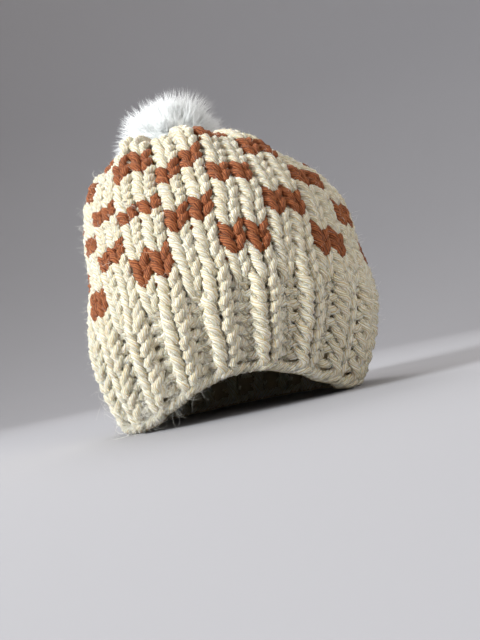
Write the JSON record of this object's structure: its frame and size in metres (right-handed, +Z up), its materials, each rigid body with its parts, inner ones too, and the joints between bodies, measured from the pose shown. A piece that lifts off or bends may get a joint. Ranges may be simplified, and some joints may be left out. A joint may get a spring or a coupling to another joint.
{
  "type": "knitted beanie with a fur pompom",
  "caption": "Chunky knitted beanie, open below, with a ribbed brim, a checked crown that slouches and a fur pompom on its gather.",
  "frame": {"origin": "middle of the hat's box at the height of the surface that the brim stands on", "axes": "+Z up through the hat, -Y out of the front of the hat, +X to the right of someone who looks at its front"},
  "size_m": [0.182, 0.189, 0.2183],
  "materials": {
    "cream_yarn": "chunky plied wool blend, matt and slightly fuzzy",
    "rust_yarn": "chunky plied wool blend, matt and slightly fuzzy",
    "white_fur": "long soft imitation fur"
  },
  "bodies": {
    "root": {"ribbed_brim": "cream_yarn", "crown": "cream_yarn", "pompom": "white_fur"}
  },
  "joints": []
}
